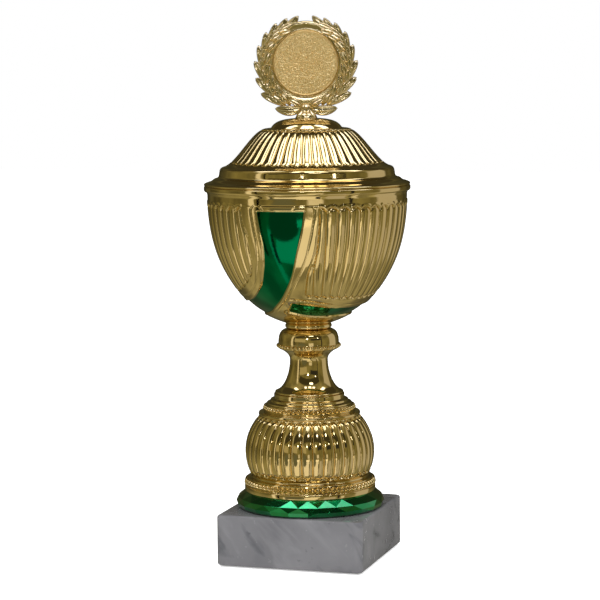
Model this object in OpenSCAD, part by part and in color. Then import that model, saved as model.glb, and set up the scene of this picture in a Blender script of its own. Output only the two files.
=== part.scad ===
// Cup trophy: marble base, faceted ring, ribbed foot, stem, bowl, and a lid that lifts off with a laurel wreath.
// Millimetres, +Z up. The origin is at the centre of the footprint, on the surface that the felt pads rest on.

/* [Marble base] */
// Side of the square marble block
marble_w = 117; // [100:1:180]
// Height of the marble block
marble_h = 40; // [25:1:80]
// Flat chamfer on every edge of the block
marble_chamfer = 1.2; // [0.4:0.2:3]
// Diameter of the recess under the block that takes the nut and washer
recess_d = 30; // [24:1:44]
// Depth of that recess
recess_depth = 14; // [12:0.5:20]
// Diameter of a felt pad
pad_d = 14; // [8:1:20]
// Thickness of a felt pad
pad_t = 1; // [0.5:0.25:3]
// Distance from each side of the block to a pad's centre
pad_inset = 14; // [11:1:20]

/* [Green ring] */
// Largest diameter of the faceted ring
ring_d = 118.6; // [112:0.2:130]
// Height of the ring
ring_h = 13; // [9:0.5:20]
// Diameter of the hole through the ring
ring_bore_d = 84; // [60:1:90]

/* [Foot] */
// Largest diameter of the ribbed globe
globe_d = 102.2; // [94:0.2:112]
// Diameter of the flange that rests on the ring
flange_d = 103.6; // [98:0.2:108]
// Height of the foot, from the ring to the stem
foot_h = 77; // [72:1:96]
// Diameter of the foot's top face, where the stem stands
foot_top_d = 55.6; // [54:0.2:64]

/* [Stem] */
// Height of the stem, from the foot to the small ring under the bowl
stem_h = 51.2; // [48:0.2:70]
// Diameter of the stem's flared bottom edge
stem_lip_d = 54; // [50:0.2:55]
// Diameter of the stem's waist
stem_waist_d = 30; // [24:0.5:34]
// Diameter of the knop at the top of the stem
knop_d = 48; // [44:0.5:60]
// Largest diameter of the small ring under the bowl
seat_d = 36.8; // [32:0.2:42]
// Height of that ring
seat_h = 4.6; // [3:0.2:8]

/* [Bowl and lid] */
// Diameter of the bowl's wall at the rim
bowl_d = 157.4; // [140:0.2:190]
// Height of the bowl, from the small ring to the lid
bowl_h = 108.2; // [95:0.2:130]
// How far the rims of the bowl and the lid stand out from the wall
rim_out = 2.1; // [1.5:0.1:4]
// Height of the bowl's rim
rim_h = 4.5; // [3.5:0.1:7]
// Depth of the lid's collar inside the bowl's mouth
collar_depth = 6; // [4:0.5:12]
// Radial play between the lid's collar and the bowl
collar_play = 0.6; // [0.4:0.1:1.5]
// Height of the lid, from the bowl's rim to the wreath
lid_h = 51.9; // [46:0.1:70]
// Diameter of the lid's ribbed dome at its top
dome_top_d = 62; // [54:0.5:70]
// How far the lid is turned on the bowl, so that the wreath faces the viewer
lid_turn = 14; // [0:1:90]

/* [Wreath and emblem] */
// Outer diameter of the disc behind the leaves
disc_d = 65.2; // [60:0.2:70]
// Thickness of that disc
disc_t = 5; // [4.4:0.2:8]
// Thickness of the wreath across its leaves
leaf_t = 8; // [6:0.5:12]
// Diameter of the emblem
emblem_d = 50; // [45:0.5:52]
// Thickness of the emblem
emblem_t = 2.2; // [1.6:0.1:3]
// Depth of the emblem's recess, which is cut in both sides of the disc
emblem_recess = 1.5; // [0.5:0.1:2]
// Height of the emblem's centre above the lid
emblem_up = 42.6; // [41:0.2:50]
// Diameter of the wreath's small base
wreath_base_d = 17; // [12:0.5:20]
// Diameter of the flat on the lid that the wreath's base stands on
lid_land_d = 19; // [18:0.5:24]

/* [Walls and fasteners] */
// Wall of the moulded foot, stem, bowl and lid
wall = 2; // [1.6:0.1:3]
// Thickness of the plates that the long rod clamps
plate_t = 4; // [3:0.2:6]
// Diameter of the long threaded rod
rod_d = 6; // [5:0.5:8]
// Radial clearance of the rod in the holes that it passes through
rod_play = 0.5; // [0.3:0.1:1]
// Diameter of the threaded stud that holds the wreath
stud_d = 4; // [3:0.5:5]
// How far a rod or stud stands out of its nut
thread_out = 3; // [1:0.5:5]
// Radial clearance of a piece that drops into a locating bore or recess
locate_play = 0.3; // [0.2:0.05:0.6]

/* [Hidden] */
$fn = 96;

gold = "goldenrod";
steel = "silver";

// Levels of the stack, from the bottom up
z_marble = pad_t;
z_ring = z_marble + marble_h;
z_foot = z_ring + ring_h;
z_stem = z_foot + foot_h;
z_seat = z_stem + stem_h;
z_bowl = z_seat + seat_h;
z_lid = z_bowl + bowl_h;
z_wreath = z_lid + lid_h;
z_emblem = z_wreath + emblem_up;

// Fastener sizes that follow the rod and the stud, rounded as metric hardware is
rod_nut_af = rod_d * 5 / 3;
rod_nut_h = rod_d * 5 / 6;
rod_washer_d = rod_d * 3;
rod_washer_t = 1.6;
stud_nut_af = stud_d * 7 / 4;
stud_nut_h = stud_d * 0.8;
stud_washer_d = stud_d * 3;
stud_washer_t = 1;
thread_play = 0.05;

// Heights where the nuts and washers bear
z_recess = z_marble + recess_depth;
z_base_nut = z_recess - rod_washer_t - rod_nut_h;
z_bowl_floor = z_bowl + plate_t;
z_bowl_nut = z_bowl_floor + rod_washer_t;
z_lid_inner = z_wreath - plate_t;
z_lid_nut = z_lid_inner - stud_washer_t - stud_nut_h;
stud_in_wreath = 7;

// Shapes of the moulded shells
spigot_h = 3;
spigot_t = 2;
boss_h = 1.5;
bowl_depth_rz = bowl_h - rim_h + 2.8;
lid_r = bowl_d / 2 + rim_out;
collar_t = 1.6;
bead_r = 1.1;

// n points of the cubic curve from a to d that leaves along a-b and arrives along c-d, without its last point
function curve(a, b, c, d, n) =
    [for (i = [0 : n - 1]) let (t = i / n, s = 1 - t)
        s * s * s * a + 3 * s * s * t * b + 3 * s * t * t * c + t * t * t * d];

// n + 1 points of a circular arc about c, from angle a0 to angle a1
function arc(c, r, a0, a1, n) =
    [for (i = [0 : n]) let (a = a0 + (a1 - a0) * i / n) c + r * [cos(a), sin(a)]];

// n + 1 points of an ellipse with its centre on the axis at height zc, between heights z0 and z1
function ellipse_side(rx, rz, zc, z0, z1, n) =
    [for (i = [0 : n]) let (z = z0 + (z1 - z0) * i / n) [rx * sqrt(1 - pow((z - zc) / rz, 2)), z]];

// A block with a flat chamfer on its twelve edges, standing on z = 0
module chamfered_block(w, h, c) {
    module octagon(a, b)
        polygon([[c - a, -b], [a - c, -b], [a, c - b], [a, b - c], [a - c, b], [c - a, b], [-a, b - c], [-a, c - b]]);
    translate([0, 0, h / 2]) intersection() {
        linear_extrude(h, center = true) octagon(w / 2, w / 2);
        rotate([90, 0, 0]) linear_extrude(w, center = true) octagon(w / 2, h / 2);
        rotate([90, 0, 90]) linear_extrude(w, center = true) octagon(w / 2, h / 2);
    }
}

// A hexagon nut on a thread of diameter d
module hex_nut(af, h, d) {
    difference() {
        cylinder(d = af / cos(30), h = h, $fn = 6);
        translate([0, 0, -1]) cylinder(r = d / 2 + thread_play, h = h + 2);
    }
}

module flat_washer(d, t, hole_d) {
    difference() {
        cylinder(d = d, h = t);
        translate([0, 0, -1]) cylinder(d = hole_d, h = t + 2);
    }
}

// A threaded bar without its thread: a cylinder with chamfered ends
module bar(d, h) {
    c = d / 8;
    rotate_extrude() polygon([[0, 0], [d / 2 - c, 0], [d / 2, c], [d / 2, h - c], [d / 2 - c, h], [0, h]]);
}

module rod_hole(z0, z1) {
    translate([0, 0, z0 - 1]) cylinder(r = rod_d / 2 + rod_play, h = z1 - z0 + 2);
}

module felt_pads() {
    reach = marble_w / 2 - pad_inset;
    color("darkgreen") for (x = [-reach, reach], y = [-reach, reach])
        translate([x, y, 0]) cylinder(d = pad_d, h = pad_t);
}

module marble_base() {
    color("gray") difference() {
        translate([0, 0, z_marble]) chamfered_block(marble_w, marble_h, marble_chamfer);
        rod_hole(z_marble, z_ring);
        translate([0, 0, z_marble - 1]) cylinder(d = recess_d, h = recess_depth + 1);
    }
}

module base_nut() {
    color(steel) translate([0, 0, z_base_nut]) hex_nut(rod_nut_af, rod_nut_h, rod_d);
}

module base_washer() {
    color(steel) translate([0, 0, z_recess - rod_washer_t])
        flat_washer(rod_washer_d, rod_washer_t, rod_d + 2 * rod_play);
}

// Ties the whole stack together, from the recess under the marble to the floor of the bowl
module threaded_rod() {
    bottom = z_base_nut - thread_out;
    top = z_bowl_nut + rod_nut_h + thread_out;
    color(steel) translate([0, 0, bottom]) bar(rod_d, top - bottom);
}

// The ring bulges to its largest diameter about halfway up, and its flat top carries the foot
module faceted_ring() {
    r = ring_d / 2;
    land_r = flange_d / 2 - 0.4;
    outline = concat(
        [[ring_bore_d / 2, 0]],
        curve([r - 2.6, 0], [r + 0.6, ring_h * 0.25], [r + 0.9, ring_h * 0.8], [land_r, ring_h], 8),
        [[land_r, ring_h], [ring_bore_d / 2, ring_h]]
    );
    color("green") translate([0, 0, z_ring]) rotate_extrude() polygon(outline);
}

// Flange with a beaded band, ribbed globe, and a stepped collar with a second beaded band
module foot() {
    globe_r = globe_d / 2;
    globe_rz = 45;
    globe_z = foot_h - 46;
    globe_bottom = 11.6;
    globe_top = foot_h - 18.6;
    flange_r = flange_d / 2;
    top_r = foot_top_d / 2;
    steps = [[12.4, 15.6], [8, 13.4], [5.8, 10.4], [2.9, 6.1], [0, 2.2]];
    globe = ellipse_side(globe_r, globe_rz, globe_z, globe_bottom, globe_top, 28);
    inner = ellipse_side(globe_r - wall, globe_rz - wall, globe_z, globe_bottom, globe_top, 14);
    outline = concat(
        [[ring_bore_d / 2 - locate_play - spigot_t, -spigot_h], [ring_bore_d / 2 - locate_play, -spigot_h],
         [ring_bore_d / 2 - locate_play, 0], [flange_r - 0.5, 0], [flange_r, 0.8], [flange_r, 3.6],
         [flange_r - 0.6, 4.4], [flange_r - 1.2, 5.6], [flange_r - 1.8, 6.8], [flange_r - 3.2, 8.2],
         [flange_r - 5, 9.8]],
        globe,
        [for (s = steps, k = [0, 1])
            [top_r + s[0] - (k == 0 ? 0 : 0.3), foot_h - s[1] + (k == 0 ? 0 : 2)]],
        [[top_r - 0.4, foot_h], [0, foot_h], [0, foot_h - plate_t], [top_r - wall, foot_h - plate_t]],
        [for (i = [len(inner) - 1 : -1 : 0]) inner[i]],
        [[ring_bore_d / 2 - locate_play - spigot_t, globe_bottom - 4]]
    );
    color(gold) translate([0, 0, z_foot]) difference() {
        union() {
            rotate_extrude() polygon(outline);
            translate([0, 0, foot_h]) cylinder(r = stem_lip_d / 2 - wall - locate_play, h = boss_h);
        }
        rod_hole(0, foot_h + boss_h);
    }
}

// Trumpet that flares at its foot, with a beaded lip under a round knop
module stem() {
    lip_r = stem_lip_d / 2;
    waist_r = stem_waist_d / 2;
    waist_z = stem_h * 0.52;
    knop_r = knop_d / 2;
    bead_z = stem_h - 13.4;
    outer = concat(
        [[lip_r - 0.5, 0], [lip_r, 0.5], [lip_r, 1.2]],
        curve([lip_r - 0.4, 1.8], [waist_r + 4.5, 3.6], [waist_r, waist_z * 0.6], [waist_r, waist_z], 12),
        curve([waist_r, waist_z], [waist_r, waist_z + 4.4], [knop_r - 4, bead_z - 3.6],
              [knop_r, bead_z - 2], 10),
        arc([knop_r, bead_z], bead_r * 1.3, -75, 75, 6),
        curve([knop_r, bead_z + 2], [knop_r - 0.3, stem_h - 3.4], [knop_r - 2.2, stem_h - 0.4],
              [seat_d / 2 - 2.6, stem_h], 10),
        [[seat_d / 2 - 2.6, stem_h]]
    );
    inner = concat(
        [[waist_r + 1, stem_h - plate_t], [waist_r + 1, bead_z]],
        curve([waist_r - wall, bead_z - 6], [waist_r - wall, waist_z], [waist_r - wall, waist_z * 0.6],
              [waist_r + 2.5, 3.6], 10),
        [[lip_r - wall, 2], [lip_r - wall, 0]]
    );
    color(gold) translate([0, 0, z_stem]) difference() {
        rotate_extrude() polygon(concat(outer, [[0, stem_h], [0, stem_h - plate_t]], inner));
        rod_hole(0, stem_h);
    }
}

// Small turned ring with a half-round edge, between the stem and the bowl
module cup_seat() {
    r = seat_h / 2;
    outline = concat([[0, 0]], arc([seat_d / 2 - r, r], r, -90, 90, 12), [[0, seat_h]]);
    color(gold) difference() {
        translate([0, 0, z_seat]) rotate_extrude() polygon(outline);
        rod_hole(z_seat, z_bowl);
    }
}

// Half an ellipsoid, open at the top, with a rolled rim that the lid rests on
module bowl() {
    r = bowl_d / 2;
    rim_z = bowl_h - rim_h;
    edge = 0.8;
    outer = ellipse_side(r, bowl_depth_rz, rim_z, 0, rim_z, 36);
    inner = ellipse_side(r - wall, bowl_depth_rz - wall, rim_z, plate_t, rim_z, 20);
    outline = concat(
        [[0, 0]],
        outer,
        [[r + rim_out - edge, rim_z], [r + rim_out, rim_z + edge * 1.5], [r + rim_out, bowl_h - edge],
         [r + rim_out - edge, bowl_h], [r - wall, bowl_h]],
        [for (i = [len(inner) - 1 : -1 : 0]) inner[i]],
        [[0, plate_t]]
    );
    color(gold) difference() {
        translate([0, 0, z_bowl]) rotate_extrude() polygon(outline);
        rod_hole(z_bowl, z_bowl_floor);
    }
}

module bowl_washer() {
    color(steel) translate([0, 0, z_bowl_floor])
        flat_washer(rod_washer_d, rod_washer_t, rod_d + 2 * rod_play);
}

module bowl_nut() {
    color(steel) translate([0, 0, z_bowl_nut]) hex_nut(rod_nut_af, rod_nut_h, rod_d);
}

// Stepped rim, ribbed dome and a plain cap. A collar under the rim drops into the bowl's mouth.
module lid() {
    step_z = 15;
    skirt_r = lid_r - 16.8;
    dome_r = dome_top_d / 2;
    dome_z = lid_h - 7.6;
    collar_r = bowl_d / 2 - wall - collar_play;
    land_r = lid_land_d / 2;
    cap_r = dome_r - 3;
    outer = concat(
        [[lid_r - 0.8, 0], [lid_r, 0.8], [lid_r - 0.5, 1.8], [lid_r - 2.4, 2.6], [lid_r - 4.6, 3.2],
         [lid_r - 6, 3.8], [lid_r - 7.2, 4.8], [lid_r - 8.4, 5.6], [lid_r - 10.8, 6.3],
         [lid_r - 11.8, 7.4], [lid_r - 12.6, 12.2], [lid_r - 13.6, 13.8], [lid_r - 15.2, 14.5]],
        curve([skirt_r, step_z], [skirt_r - 11, step_z + 5], [dome_r + 11, dome_z - 0.2],
              [dome_r, dome_z], 24),
        [[dome_r - 1.4, dome_z + 0.2], [cap_r + 0.4, dome_z - 0.1]],
        curve([cap_r, dome_z], [cap_r - 5.8, dome_z + 3.4], [cap_r - 7.5, lid_h - 0.6],
              [land_r + 0.6, lid_h], 10),
        [[land_r, lid_h], [0, lid_h]]
    );
    inner = concat(
        [[0, lid_h - plate_t], [land_r, lid_h - plate_t]],
        curve([cap_r - 8, lid_h - plate_t], [cap_r - 3, dome_z - 0.6], [cap_r, dome_z - wall],
              [dome_r, dome_z - wall], 6),
        curve([dome_r, dome_z - wall], [dome_r + 10, dome_z - wall], [skirt_r - 12.6, step_z + 3.2],
              [skirt_r - wall, step_z - wall], 14),
        [[lid_r - 15.4, step_z - wall], [lid_r - 15.4, 4]]
    );
    collar = [[collar_r - collar_t, 3], [collar_r - collar_t, -collar_depth],
              [collar_r, -collar_depth], [collar_r, 0]];
    color(gold) difference() {
        translate([0, 0, z_lid]) rotate_extrude() polygon(concat(outer, inner, collar));
        translate([0, 0, z_lid_inner - 1]) cylinder(r = stud_d / 2 + locate_play, h = plate_t + 2);
    }
}

module lid_washer() {
    color(steel) translate([0, 0, z_lid_inner - stud_washer_t])
        flat_washer(stud_washer_d, stud_washer_t, stud_d + 2 * locate_play);
}

module lid_nut() {
    color(steel) translate([0, 0, z_lid_nut]) hex_nut(stud_nut_af, stud_nut_h, stud_d);
}

module wreath_stud() {
    bottom = z_lid_nut - thread_out;
    top = z_wreath + stud_in_wreath;
    color(steel) translate([0, 0, bottom]) bar(stud_d, top - bottom);
}

// A pointed leaf from [0, 0] to [l, 0] and w wide, both sides of it arcs
module leaf(l, w) {
    r = (l * l + w * w) / (4 * w);
    half = asin(l / (2 * r));
    side = arc([l / 2, w / 2 - r], r, 90 + half, 90 - half, 8);
    polygon(concat(side, [for (i = [len(side) - 2 : -1 : 1]) [side[i][0], -side[i][1]]]));
}

// One branch of laurel, to the right of the centre: leaves in pairs along a ring of radius branch_r
module branch() {
    pairs = 8;
    branch_r = disc_d / 2 - 2.6;
    for (i = [0 : pairs - 1]) {
        a = -51 + i * 17.4;
        translate(branch_r * [cos(a), sin(a)]) {
            rotate(a + 62) leaf(15.6 - i * 0.5, 5.6);
            rotate(a + 104) leaf(12, 4.6);
        }
    }
    translate([2, -disc_d / 2 - 3]) rotate(2) leaf(23, 7);
}

// The wreath stands in the XZ plane: a disc with an emblem recess on each side, two branches and a small base
module wreath() {
    r = disc_d / 2;
    base_r = wreath_base_d / 2;
    base_h = emblem_up - r + 1;
    neck_r = 4.6;
    color(gold) translate([0, 0, z_emblem]) rotate([0, 0, lid_turn]) difference() {
        union() {
            rotate([90, 0, 0]) {
                cylinder(r = r, h = disc_t, center = true);
                linear_extrude(leaf_t, center = true) {
                    branch();
                    mirror([1, 0]) branch();
                }
            }
            translate([0, 0, -emblem_up]) rotate_extrude() polygon(concat(
                [[0, 0], [base_r, 0], [base_r, 0.8]],
                curve([base_r, 0.8], [base_r - 1, 4], [neck_r, base_h * 0.5], [neck_r, base_h], 8),
                [[neck_r, base_h], [0, base_h]]
            ));
        }
        for (s = [-1, 1])
            translate([0, s * (disc_t / 2 - emblem_recess + 5), 0]) rotate([90, 0, 0])
                cylinder(r = emblem_d / 2 + locate_play, h = 10, center = true);
        for (s = [-1, 1])
            translate([0, s * (disc_t / 2 + 5), 0]) rotate([90, 0, 0])
                cylinder(r = r - 5.6, h = 10, center = true);
        translate([0, 0, -emblem_up - 1]) cylinder(r = stud_d / 2 + thread_play, h = stud_in_wreath + 1.2);
    }
}

// A stamped disc with a raised rim, set in the recess on the front of the wreath
module emblem() {
    rim_w = 2.4;
    rim_up = 0.7;
    r = emblem_d / 2;
    outline = [[0, 0], [r, 0], [r, emblem_t - 0.2], [r - 0.3, emblem_t], [r - rim_w, emblem_t],
               [r - rim_w - 0.3, emblem_t - rim_up], [0, emblem_t - rim_up]];
    color("khaki") translate([0, 0, z_emblem]) rotate([0, 0, lid_turn])
        translate([0, emblem_recess - disc_t / 2, 0]) rotate([90, 0, 0]) rotate_extrude() polygon(outline);
}

felt_pads();
marble_base();
base_nut();
base_washer();
threaded_rod();
faceted_ring();
foot();
stem();
cup_seat();
bowl();
bowl_washer();
bowl_nut();
lid();
lid_washer();
lid_nut();
wreath_stud();
wreath();
emblem();
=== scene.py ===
"""Cup trophy: the visual model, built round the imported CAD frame.

Every builder works in millimetres in the CAD frame (+Z up, axis of the cup on Z) and the meshes are stored in
metres. A direction round the axis is an azimuth in radians from -Y towards +X, so its unit vector is
(sin a, -cos a).
"""

import math

import bpy
import numpy as np
from mathutils import Matrix, Vector


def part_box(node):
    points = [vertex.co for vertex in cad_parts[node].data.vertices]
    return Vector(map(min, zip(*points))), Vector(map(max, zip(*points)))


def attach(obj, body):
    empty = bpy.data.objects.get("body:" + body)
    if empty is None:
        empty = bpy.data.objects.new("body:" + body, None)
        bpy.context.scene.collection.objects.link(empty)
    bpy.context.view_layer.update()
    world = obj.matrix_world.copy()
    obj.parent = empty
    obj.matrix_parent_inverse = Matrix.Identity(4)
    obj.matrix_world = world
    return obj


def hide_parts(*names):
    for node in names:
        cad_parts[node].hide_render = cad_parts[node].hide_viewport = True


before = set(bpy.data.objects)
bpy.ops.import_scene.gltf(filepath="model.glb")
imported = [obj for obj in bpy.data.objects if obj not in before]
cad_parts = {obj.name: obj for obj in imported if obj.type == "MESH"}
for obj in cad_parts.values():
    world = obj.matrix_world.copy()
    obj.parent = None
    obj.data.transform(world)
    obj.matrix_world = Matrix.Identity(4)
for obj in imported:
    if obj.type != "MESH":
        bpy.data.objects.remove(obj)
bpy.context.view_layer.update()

MM = 0.001
TAU = 2 * math.pi

# Where the camera stands, and what it sees straight on
CAMERA_TURN = math.radians(17.4)
CAMERA_YAW = -0.0038
CAMERA_PITCH = 0.1073
CAMERA_ROLL = 0.0108
CAMERA_DISTANCE = 1707
CAMERA_HEIGHT = 388.2
CAMERA_LENS = 131.0


def top(cad_node):
    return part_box(cad_node)[1][2] / MM


def bottom(cad_node):
    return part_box(cad_node)[0][2] / MM


def half_width(cad_node):
    return (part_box(cad_node)[1][0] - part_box(cad_node)[0][0]) / 2 / MM


# Levels of the stack and sizes that several pieces share
Z_MARBLE = bottom("marble_base")
Z_RING = top("marble_base")
Z_FOOT = top("faceted_ring")
Z_STEM = bottom("stem")
Z_SEAT = bottom("cup_seat")
Z_BOWL = bottom("bowl")
Z_LID = top("bowl")
Z_WREATH = top("lid")
Z_EMBLEM = (bottom("emblem") + top("emblem")) / 2
EMBLEM_R = (top("emblem") - bottom("emblem")) / 2
RIM_R = half_width("bowl")
RIM_OVERHANG = 2.1
WALL = 2.0
ROD_HOLE_R = 3.5
STUD_HOLE_R = 2.3
WREATH_TURN = math.radians(14)


# ---- outlines of (radius, height) points

def cubic(a, b, c, d, n):
    """n points of the cubic curve from a to d that leaves along a-b and arrives along c-d, without its last
    point."""
    t = np.arange(n)[:, None] / n
    s = 1 - t
    a, b, c, d = (np.array(p, float) for p in (a, b, c, d))
    return s ** 3 * a + 3 * s * s * t * b + 3 * s * t * t * c + t ** 3 * d


def arc(centre, radius, start, stop, n):
    """n + 1 points of a circular arc between two angles in degrees."""
    angle = np.radians(np.linspace(start, stop, n + 1))
    return np.array(centre, float) + radius * np.stack([np.cos(angle), np.sin(angle)], 1)


def ellipse_side(rx, rz, zc, z0, z1, n):
    """n + 1 points of an ellipse with its centre on the axis at height zc, between two heights."""
    z = np.linspace(z0, z1, n + 1)
    return np.stack([rx * np.sqrt(1 - ((z - zc) / rz) ** 2), z], 1)


def path(*parts):
    return np.vstack([np.atleast_2d(np.array(p, float)) for p in parts])


def soften(points, reach, closed=True, turn_limit=14, n=4):
    """The outline with each corner of turn_limit degrees or more made a small curve, up to reach from it."""
    points = np.asarray(points, float)
    out = []
    count = len(points)
    for i, here in enumerate(points):
        if not closed and i in (0, count - 1):
            out.append(here)
            continue
        before = points[i - 1] - here
        after = points[(i + 1) % count] - here
        len_b, len_a = np.linalg.norm(before), np.linalg.norm(after)
        if min(len_a, len_b) < 1e-6:
            continue
        turn = 180 - math.degrees(math.acos(np.clip(before @ after / len_a / len_b, -1, 1)))
        if turn < turn_limit:
            out.append(here)
            continue
        start = here + before / len_b * min(reach, len_b * 0.42)
        stop = here + after / len_a * min(reach, len_a * 0.42)
        for t in np.linspace(0, 1, n + 1):
            out.append((1 - t) ** 2 * start + 2 * t * (1 - t) * here + t * t * stop)
    return np.array(out)


def divide(points, step):
    """The closed outline with extra points, so that no edge is longer than step."""
    out = []
    for a, b in zip(points, np.roll(points, -1, axis=0)):
        n = max(1, math.ceil(np.linalg.norm(b - a) / step))
        out.extend(a + (b - a) * k / n for k in range(n))
    return np.array(out)


def outward(points):
    """Unit normals of a closed outline that runs up its outer side."""
    along = np.roll(points, -1, axis=0) - np.roll(points, 1, axis=0)
    normal = np.stack([along[:, 1], -along[:, 0]], 1)
    return normal / np.linalg.norm(normal, axis=1)[:, None]


def smooth(t):
    """0 below 0 and 1 above 1, with a smooth rise between them."""
    t = np.clip(t, 0, 1)
    return t * t * (3 - 2 * t)


# ---- meshes

def placed(name, data):
    """A new object in the scene."""
    piece = bpy.data.objects.new(name, data)
    bpy.context.scene.collection.objects.link(piece)
    return piece


class Shape:
    """Points in millimetres and faces, collected from one or more shells."""

    def __init__(self, *shell):
        self.points, self.faces, self.count = [], [], 0
        if shell:
            self.add(*shell)

    def add(self, points, *faces):
        self.points.append(np.asarray(points, float))
        self.faces += [np.asarray(f, int) + self.count for f in faces]
        self.count += len(points)

    def build(self, name, material, body, cad_node, sharp=35.0, values=None):
        """The finished piece. Edges of sharp degrees or more are hard; values are numbers for points."""
        sizes = np.concatenate([np.full(len(f), f.shape[1]) for f in self.faces])
        mesh = bpy.data.meshes.new(name)
        mesh.vertices.add(self.count)
        mesh.vertices.foreach_set("co", np.vstack(self.points).ravel() * MM)
        mesh.loops.add(int(sizes.sum()))
        mesh.loops.foreach_set("vertex_index", np.concatenate([f.ravel() for f in self.faces]))
        mesh.polygons.add(len(sizes))
        mesh.polygons.foreach_set("loop_start", np.concatenate([[0], np.cumsum(sizes)[:-1]]))
        mesh.update(calc_edges=True)
        mesh.validate()
        mesh.polygons.foreach_set("use_smooth", np.ones(len(mesh.polygons), bool))
        mesh.set_sharp_from_angle(angle=math.radians(sharp))
        for key, numbers in (values or {}).items():
            mesh.attributes.new(key, "FLOAT", "POINT").data.foreach_set("value", np.ravel(numbers))
        mesh.materials.append(material)
        piece = placed(name, mesh)
        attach(piece, body)
        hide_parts(cad_node)
        return piece


def full_turn(columns, shift=0.0):
    """Azimuths of evenly spaced columns, all the way round. The first is shift columns from -Y."""
    return TAU * (np.arange(columns) + shift) / columns


def around(r, azimuth, z):
    """Points at the given radii, azimuths and heights, row after row."""
    r, azimuth, z = np.broadcast_arrays(r, azimuth, z)
    return np.stack([r * np.sin(azimuth), -r * np.cos(azimuth), z], -1).reshape(-1, 3)


def ring_grid(rows, columns, closed=True):
    """Quads between rows of points round the axis. closed also joins the last row to the first."""
    i = np.arange(rows if closed else rows - 1)[:, None]
    j = np.arange(columns)[None, :]
    k = (j + 1) % columns
    above = (i + 1) % rows
    corners = (i * columns + j, i * columns + k, above * columns + k, above * columns + j)
    return np.stack(np.broadcast_arrays(*corners), -1).reshape(-1, 4)


def with_fans(rows, columns):
    """Quads of an open grid, and fans from its first and last row to the two points that follow it."""
    j = np.arange(columns)
    k = (j + 1) % columns
    base = (rows - 1) * columns
    low = np.stack([np.full(columns, base + columns), k, j], 1)
    high = np.stack([np.full(columns, base + columns + 1), base + j, base + k], 1)
    return ring_grid(rows, columns, closed=False), low, high


def with_caps(rows, columns):
    """Quads of an open grid, and one flat face over each of its ends."""
    ring = np.arange(columns)[None, :]
    return ring_grid(rows, columns, closed=False), ring[:, ::-1], ring + (rows - 1) * columns


def turned(outline, columns, push=0):
    """Points and faces of a closed outline turned round the axis. push is how far each point moves along the
    outline's outward normal, as rows of columns."""
    r, z = outline[:, :1], outline[:, 1:]
    normal = outward(outline)
    points = around(r + push * normal[:, :1], full_turn(columns), z + push * normal[:, 1:])
    return points, ring_grid(len(outline), columns)


def domed(outline, columns):
    """Points and faces of an outline that starts and ends on the axis, turned round it."""
    outline = np.asarray(outline, float)
    body = outline[1:-1]
    poles = [[0, 0, outline[0][1]], [0, 0, outline[-1][1]]]
    points = np.vstack([around(body[:, :1], full_turn(columns), body[:, 1:]), poles])
    return points, *with_fans(len(body), columns)


def flipped(faces):
    return [f[:, ::-1] for f in faces]


def moved(points, matrix):
    return points @ np.array(matrix.to_3x3()).T + np.array(matrix.translation)


def beads(shape, count, radius, height, tilt, outline, columns=20, phase=0.0):
    """A row of small turned studs round the axis, each on a band whose normal is tilt above level."""
    points, *faces = domed(outline, columns)
    for a in full_turn(count, phase):
        out = np.array([math.sin(a), -math.cos(a), 0])
        side = np.array([math.cos(a), math.sin(a), 0])
        up = np.array([0, 0, 1])
        normal = out * math.cos(tilt) + up * math.sin(tilt)
        rise = up * math.cos(tilt) - out * math.sin(tilt)
        shape.add(out * radius + up * height + points @ np.array([side, rise, normal]), *faces)


def fluting(azimuth, r, count, phase):
    """Half the width of one of count flutes at radius r, and the distance from the nearest flute's middle."""
    half = math.pi * r / count
    return half, np.abs(((azimuth - phase) / TAU * count + 0.5) % 1 - 0.5) * 2 * half


def fluted(across, half, ends, depth, lip):
    """How far a flute's surface lies below its crown, which it meets again within lip of the flute. across is
    the distance from its middle line, half is half its width, and ends is the distance inside the line that
    its rounded ends touch."""
    edge = half - np.hypot(across, np.maximum(0, half - ends))
    inward = np.clip(edge / half, 0, 1)
    crown = -depth * (1 - np.sqrt(1 - (1 - inward) ** 2))
    outside = -depth * (1 - smooth(-edge / lip))
    return np.where(edge > 0, crown, outside)


# ---- materials

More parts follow.
